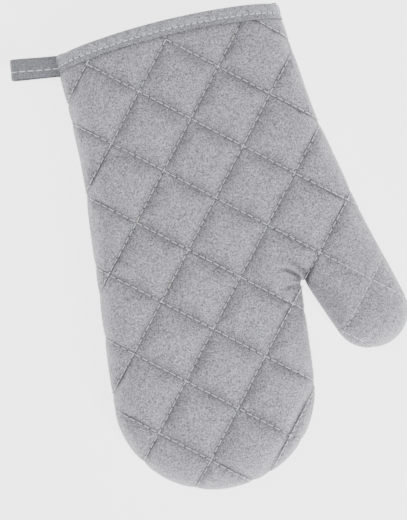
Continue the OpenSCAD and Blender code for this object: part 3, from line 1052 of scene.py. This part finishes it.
# A tape folded end to end: out along the top, round the fold and back underneath.
def makeLoop():
    s = loopSizes
    half, t, radius = s["width"] / 2, s["thickness"], s["foldRadius"]
    direction = -unit(-s["tilt"])
    side = np.array([direction[1], -direction[0]])
    middle = padding["seamHeight"]
    reach = s["length"] - radius
    path = []
    for k in range(15):
        f = k / 14
        height = 1.0 + (radius - 1.0) * smooth((f - 0.35) / 0.65)
        path.append((reach * f, height, f))
    for k in range(1, 12):
        turn = math.pi * k / 12
        path.append((reach + radius * math.sin(turn), radius * math.cos(turn), 1.0))
    for k in range(15):
        f = 1 - k / 14
        height = 1.0 + (radius - 1.0) * smooth((f - 0.35) / 0.65)
        path.append((reach * f, -height, f))
    path = np.array(path)
    heading = np.gradient(path[:, :2], axis=0)
    heading /= np.linalg.norm(heading, axis=1)[:, None]
    normal = np.stack([-heading[:, 1], heading[:, 0]], 1)
    across = np.array([-1, -0.93, -0.75, -0.4, 0, 0.4, 0.75, 0.93, 1]) * half
    points = []
    for i, (x, z, f) in enumerate(path):
        under = smooth((i - 18) / 6.0)
        for level in (0.5, -0.5):
            for w in across:
                edge = 1 - 0.45 * smooth((abs(w) - half * 0.86) / (half * 0.14))
                fold = s["foldWave"] * noise.noise(Vector((x * 0.12, w * 0.22, 2.0 + under * 5)))
                out = level * t * edge + fold
                shift = -s["layerShift"] * under
                px = x + normal[i][0] * out
                pz = z + normal[i][1] * out
                place = loopRoot + direction * px + side * (w + shift)
                points.append((place[0], place[1], middle + pz))
    row = len(across)
    faces = []
    for i in range(len(path) - 1):
        a = i * 2 * row
        b = (i + 1) * 2 * row
        for k in range(row - 1):
            faces.append((a + k, a + k + 1, b + k + 1, b + k))
            faces.append((a + row + k, b + row + k, b + row + k + 1, a + row + k + 1))
        faces.append((a, b, b + row, a + row))
        faces.append((a + row - 1, a + 2 * row - 1, b + 2 * row - 1, b + row - 1))
    for i, flip in ((0, 1), (len(path) - 1, -1)):
        a = i * 2 * row
        for k in range(row - 1):
            faces.append((a + k, a + row + k, a + row + k + 1, a + k + 1)[::flip])
    return meshObject("hanging_loop_tape", np.array(points), faces, cloths["loop tape"], np.zeros(len(points)))


loopTape = makeLoop()
print("stage: binding and loop")


# Turns a closed piece's faces outwards.
def checkNormals(obj):
    work = bmesh.new()
    work.from_mesh(obj.data)
    bmesh.ops.recalc_face_normals(work, faces=work.faces)
    work.to_mesh(obj.data)
    work.free()


for piece in (binding, loopTape):
    checkNormals(piece)

# One bent thread stitch on each guide point, lying along the point's own direction.
def stitchTree():
    tree = bpy.data.node_groups.new("thread stitches", "GeometryNodeTree")
    sockets = {}
    for title, kind, value in (
        ("Guides", "NodeSocketGeometry", None), ("Stitch length", "NodeSocketFloat", 0.0037),
        ("Thread radius", "NodeSocketFloat", 0.00035), ("Arch", "NodeSocketFloat", 0.0004),
        ("Uneven", "NodeSocketFloat", 0.08), ("Seed", "NodeSocketInt", 1),
        ("Thread", "NodeSocketMaterial", None),
    ):
        socket = tree.interface.new_socket(title, in_out="INPUT", socket_type=kind)
        if value is not None:
            socket.default_value = value
        sockets[title] = socket.identifier
    tree.interface.new_socket("Stitches", in_out="OUTPUT", socket_type="NodeSocketGeometry")
    link = tree.links.new
    source = tree.nodes.new("NodeGroupInput").outputs

    def node(kind, **settings):
        made = tree.nodes.new(kind)
        for key, value in settings.items():
            setattr(made, key, value)
        return made

    def maths(operation, a, b):
        made = node("ShaderNodeMath", operation=operation)
        for slot, value in ((0, a), (1, b)):
            if isinstance(value, bpy.types.NodeSocket):
                link(value, made.inputs[slot])
            else:
                made.inputs[slot].default_value = value
        return made.outputs[0]

    half = maths("MULTIPLY", source["Stitch length"], 0.5)
    curve = node("GeometryNodeCurveQuadraticBezier")
    curve.inputs["Resolution"].default_value = 6
    for title, x, z in (
        ("Start", maths("MULTIPLY", half, -1.0), maths("MULTIPLY", source["Arch"], -1.0)),
        ("Middle", None, maths("MULTIPLY", source["Arch"], 1.0)),
        ("End", half, maths("MULTIPLY", source["Arch"], -1.0)),
    ):
        place = node("ShaderNodeCombineXYZ")
        if x is not None:
            link(x, place.inputs["X"])
        link(z, place.inputs["Z"])
        link(place.outputs[0], curve.inputs[title])
    circle = node("GeometryNodeCurvePrimitiveCircle")
    circle.inputs["Resolution"].default_value = 6
    link(source["Thread radius"], circle.inputs["Radius"])
    tube = node("GeometryNodeCurveToMesh")
    link(curve.outputs[0], tube.inputs["Curve"])
    link(circle.outputs[0], tube.inputs["Profile Curve"])
    tube.inputs["Fill Caps"].default_value = True
    turned = None
    for title, axis, pivot in (("along", "X", "AUTO"), ("up", "Z", "X")):
        read = node("GeometryNodeInputNamedAttribute", data_type="FLOAT_VECTOR")
        read.inputs["Name"].default_value = title
        align = node("FunctionNodeAlignRotationToVector", axis=axis, pivot_axis=pivot)
        link(read.outputs["Attribute"], align.inputs["Vector"])
        if turned is not None:
            link(turned, align.inputs["Rotation"])
        turned = align.outputs["Rotation"]
    change = node("FunctionNodeRandomValue", data_type="FLOAT")
    link(maths("SUBTRACT", 1.0, source["Uneven"]), change.inputs[2])
    link(maths("ADD", 1.0, source["Uneven"]), change.inputs[3])
    link(source["Seed"], change.inputs["Seed"])
    size = node("ShaderNodeCombineXYZ")
    link(change.outputs[1], size.inputs["X"])
    size.inputs["Y"].default_value = 1.0
    size.inputs["Z"].default_value = 1.0
    place = node("GeometryNodeInstanceOnPoints")
    link(source["Guides"], place.inputs["Points"])
    link(tube.outputs[0], place.inputs["Instance"])
    link(turned, place.inputs["Rotation"])
    link(size.outputs[0], place.inputs["Scale"])
    real = node("GeometryNodeRealizeInstances")
    link(place.outputs[0], real.inputs[0])
    dyed = node("GeometryNodeSetMaterial")
    link(real.outputs[0], dyed.inputs["Geometry"])
    link(source["Thread"], dyed.inputs["Material"])
    link(dyed.outputs[0], node("NodeGroupOutput").inputs[0])
    return tree, sockets


stitching, stitchInputs = stitchTree()


# A plain mesh of stitches from guides, each a place, a direction and an up.
def sewn(name, guides, sizes):
    mesh = bpy.data.meshes.new(name + "_guides")
    mesh.from_pydata(toWorld([g[0] for g in guides]).tolist(), [], [])
    for k, title in ((1, "along"), (2, "up")):
        layer = mesh.attributes.new(title, "FLOAT_VECTOR", "POINT")
        layer.data.foreach_set("vector", np.array([g[k] for g in guides], np.float32).ravel())
    guide = bpy.data.objects.new(name + "_guides", mesh)
    bpy.context.collection.objects.link(guide)
    modifier = guide.modifiers.new("stitches", "NODES")
    modifier.node_group = stitching
    modifier[stitchInputs["Thread"]] = paleThread
    modifier[stitchInputs["Seed"]] = sizes["seed"]
    for title, key in (("Stitch length", "stitch"), ("Thread radius", "thread"), ("Arch", "arch")):
        modifier[stitchInputs[title]] = sizes[key] / 1000
    graph = bpy.context.evaluated_depsgraph_get()
    made = bpy.data.meshes.new_from_object(guide.evaluated_get(graph), depsgraph=graph)
    made.name = name
    made.polygons.foreach_set("use_smooth", np.ones(len(made.polygons), bool))
    obj = bpy.data.objects.new(name, made)
    bpy.context.collection.objects.link(obj)
    bpy.data.objects.remove(guide, do_unlink=True)
    return obj


# Stitch guides along one row of points, a pitch apart.
def placeAlong(places, ups, sizes, lift, offset=0.5):
    pitch, length = sizes["stitchPitch"], sizes["stitch"]
    places = np.asarray(places)
    steps = np.concatenate([[0], np.cumsum(np.linalg.norm(np.diff(places, axis=0), axis=1))])
    guides = []
    at = pitch * offset
    while at + length / 2 < steps[-1]:
        begin, middle, end = (
            np.array([np.interp(at + shift, steps, places[:, k]) for k in range(3)])
            for shift in (-length / 2, 0, length / 2)
        )
        up = np.array([np.interp(at, steps, np.asarray(ups)[:, k]) for k in range(3)])
        along = end - begin
        along = along / np.linalg.norm(along)
        up = up - along * (up @ along)
        up = up / np.linalg.norm(up)
        guides.append(((begin + end + middle) / 3 + up * lift, along, up))
        at += pitch
    return guides


# The smooth outward direction of the padded shape over plan points.
def outwardAt(points, front):
    inset, way = fine.insetOf(points)
    angle = np.arccos(np.clip(1 - inset / padding["edgeWidth"], 0, 1))
    side = 1 if front else -1
    return np.column_stack([-way * np.cos(angle)[:, None], side * np.sin(angle)])


# The quilting lines laid on the finished cloth, as runs of points with their outward directions.
def quiltingRows(front):
    tree = BVHTree.FromPolygons([Vector(p) for p in skinPoints], fine.skin)
    pitch = quilting["pitch"]
    corner = np.array([quilting["x"], -quilting["length"]], float)
    span = np.arange(-330, 330, 0.35)
    runs = []
    for family in range(2):
        for k in range(-9, 10):
            if family == 0:
                line = crotchCentre + k * pitch * acrossCut + span[:, None] * alongCut
            else:
                line = corner + k * pitch * alongCut + span[:, None] * acrossCut
            inside = insidePolygon(line, fine.point) & (line[:, 1] < 6)
            edge = np.array([archHeight(np.clip(x, -76, 76)) for x in line[:, 0]]) - line[:, 1]
            inside &= edge > bindingSizes["width"] + 0.2
            ups = outwardAt(line, front)
            run = []
            for i in range(len(line)):
                hit = None
                if inside[i]:
                    x, y = line[i]
                    start, way = (60, -1) if front else (-40, 1)
                    hit = tree.ray_cast(Vector((x, y, start)), Vector((0, 0, way)))[0]
                if hit is not None and abs(hit.z - padding["seamHeight"]) > 1.5:
                    run.append((np.array(hit), ups[i]))
                elif len(run) > 8:
                    runs.append(run)
                    run = []
                else:
                    run = []
            if len(run) > 8:
                runs.append(run)
    return runs


def isThumb(place):
    return (np.asarray(place)[:2] - crotchCentre) @ acrossCut > 0.3 and place[0] > crotchCentre[0]


quiltGuides = {False: [], True: []}
shuffle = random.Random(quilting["shuffle"])
for front in (True, False):
    for run in quiltingRows(front):
        places, ups = zip(*run)
        for place, along, up in placeAlong(places, ups, quilting, 0, shuffle.uniform(0.4, 1)):
            onThumb = bool(isThumb(place))
            beyond = (place[:2] - crotchCentre) @ acrossCut
            sunk = smooth((beyond - 2) / quilting["thumbFadeRun"]) if onThumb else 0
            quiltGuides[onThumb].append((place + up * quilting["lift"] * (1 - 0.8 * sunk), along, up))
quiltStitches = [
    sewn(title, quiltGuides[thumb], quilting)
    for title, thumb in (("hand_quilting_stitches", False), ("thumb_quilting_stitches", True))
]
print("stage: quilting stitches", len(quiltGuides[False]), len(quiltGuides[True]))


def bindingRow():
    places, ups = [], []
    for part, value in mouthPath(0.5) + [("left", -math.pi / 2)]:
        place = np.array(mouthPoint(part, value, bindingSizes["stitchAt"], 0.28))
        deeper = np.array(mouthPoint(part, value, bindingSizes["stitchAt"], 1.28))
        places.append(place)
        ups.append(place - deeper)
    return places, ups


places, ups = bindingRow()
bindingGuides = placeAlong(places, ups, bindingSizes, bindingSizes["lift"])


# Paints shade into the cloth between stitches, at the needle holes where the thread goes down through it.
def shadeNeedleHoles(obj, guides):
    centres = [guide[0] for guide in guides]
    holes = toWorld([(a + b) / 2 for a, b in zip(centres, centres[1:])])
    points = np.empty(len(obj.data.vertices) * 3)
    obj.data.vertices.foreach_get("co", points)
    far = np.linalg.norm(points.reshape(-1, 1, 3) - holes[None], axis=2).min(1) * 1000
    layer = obj.data.attributes["valley"].data
    values = np.empty(len(layer))
    layer.foreach_get("value", values)
    layer.foreach_set("value", np.maximum(values, 1.4 * np.exp(-(far / 0.55) ** 2)).astype(np.float32))


shadeNeedleHoles(binding, bindingGuides)
bindingStitches = sewn("binding_stitches", bindingGuides, bindingSizes)


seamEdge = {
    "width": 8, "thickness": 1.9, "fray": 0.5, "wave": 1.3,
    "stitch": 2.4, "stitchPitch": 3.2, "thread": 0.25, "arch": 0.3, "seed": 21, "lift": 0.05,
}


# The raw seam edges standing inside the mitt, from one station to another.
def allowanceStrip(first, last):
    inner, outer = wallThickness + 0.15, wallThickness + seamEdge["width"]
    rows = []
    insets = np.zeros(fine.count)
    for share in (0.0, 0.35, 0.7, 1.0):
        frayed = np.array([noise.noise(Vector((a * 0.35, share, 5.0))) for a in fine.along])
        depth = inner + (outer - inner) * share + frayed * seamEdge["fray"] * share
        insets = fine.edge - (fine.edge - depth) * np.cos(fine.roll)
        level = padding["seamHeight"] + (padding["palmRise"] - depth) * np.sin(fine.roll)
        waved = np.array([noise.noise(Vector((a * 0.06, share * 2, 8.0))) for a in fine.along])
        level = level + waved * seamEdge["wave"] * share
        rows.append(np.column_stack([fine.ringAt(insets), level]))
    half = seamEdge["thickness"] / 2
    section = [(0, half), (1, half), (2, half), (3, half * 0.5)]
    section += [(row, -height) for row, height in reversed(section)]
    places = []
    count = last - first + 1
    for i in range(first, last + 1):
        places += [rows[r][i] + np.array([0, 0, dz]) for r, dz in section]
    size = len(section)
    faces = [tuple(reversed(range(size))), tuple((count - 1) * size + k for k in range(size))]
    for i in range(count - 1):
        for k in range(size):
            a, b = i * size + k, i * size + (k + 1) % size
            faces.append((a, b, b + size, a + size))
    row = [rows[0][i] * 0.72 + rows[1][i] * 0.28 + np.array([0, 0, half]) for i in range(first, last + 1)]
    return places, faces, row


cuffStop = int(np.argmax(fine.along > 14))
cuffStopRight = fine.count - 1 - int(np.argmax((fine.along[-1] - fine.along[::-1]) > 14))
seamRuns = {
    "hand": ((cuffStop, fine.cuts[0]), (fine.cuts[1], cuffStopRight)),
    "thumb": ((fine.cuts[0] + 1, fine.cuts[1] - 1),),
}
allowances, seamStitches = [], []
for zone, runs in seamRuns.items():
    points, faces, guides = [], [], []
    for first, last in runs:
        places, these, row = allowanceStrip(first, last)
        faces += [tuple(v + len(points) for v in face) for face in these]
        points += places
        ups = [(0, 0, 1)] * len(row)
        guides += placeAlong(row, ups, seamEdge, seamEdge["lift"])
        under = [p - np.array([0, 0, seamEdge["thickness"]]) for p in row]
        guides += placeAlong(under, [(0, 0, -1)] * len(row), seamEdge, seamEdge["lift"])
    strip = meshObject(zone + "_seam_edge", np.array(points), faces, cloths["raw seam edge"])
    checkNormals(strip)
    allowances.append(strip)
    seamStitches.append(sewn(zone + "_seam_stitches", guides, seamEdge))


# The row of stitches along the folded tape, above and below.
def loopRow():
    tree = BVHTree.FromPolygons([v.co * 1000 - Vector(origin) for v in loopTape.data.vertices],
                                [tuple(f.vertices) for f in loopTape.data.polygons])
    direction = -unit(-loopSizes["tilt"])
    side = np.array([direction[1], -direction[0]]) * -1
    if side[1] < 0:
        side = -side
    guides = []
    for up in (1, -1):
        row = []
        for reach in np.arange(-loopSizes["length"], 0.0, 0.4):
            x, y = loopRoot - direction * reach + side * loopSizes["stitchAt"]
            hit = tree.ray_cast(Vector((x, y, 40 * up)), Vector((0, 0, -up)))[0]
            if hit is not None and (hit.z - padding["seamHeight"]) * up > 0:
                row.append(np.array(hit))
        guides += placeAlong(row, [(0, 0, up)] * len(row), loopSizes, loopSizes["lift"])
    return guides


loopStitches = sewn("loop_stitches", loopRow(), loopSizes)
print("stage: seam edges and loop stitches")


def zoned(kinds, zones):
    return [zone + "_" + kind for zone in zones for kind in kinds]


def bendHand(obj):
    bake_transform(obj)


def bendThumb(obj):
    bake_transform(obj)


def standFor(pair, kinds):
    hand, thumb = pair
    bendHand(hand)
    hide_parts(*zoned(kinds, ("hand", "fingers")))
    bendThumb(thumb)
    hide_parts(*zoned(kinds, ("thumb",)))


standFor(shells, ("front_shell", "back_shell"))
standFor(waddings, ("front_wadding", "back_wadding"))
standFor(linings, ("front_lining", "back_lining"))
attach(binding, "hand")
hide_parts("cuff_binding")
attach(loopTape, "loop")
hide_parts("hanging_loop")
standFor(quiltStitches, ("front_quilting_thread", "back_quilting_thread"))
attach(bindingStitches, "hand")
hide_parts("binding_thread")
standFor(allowances, ("seam_allowance",))
standFor(seamStitches, ("seam_thread",))
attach(loopStitches, "loop")
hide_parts("loop_thread")
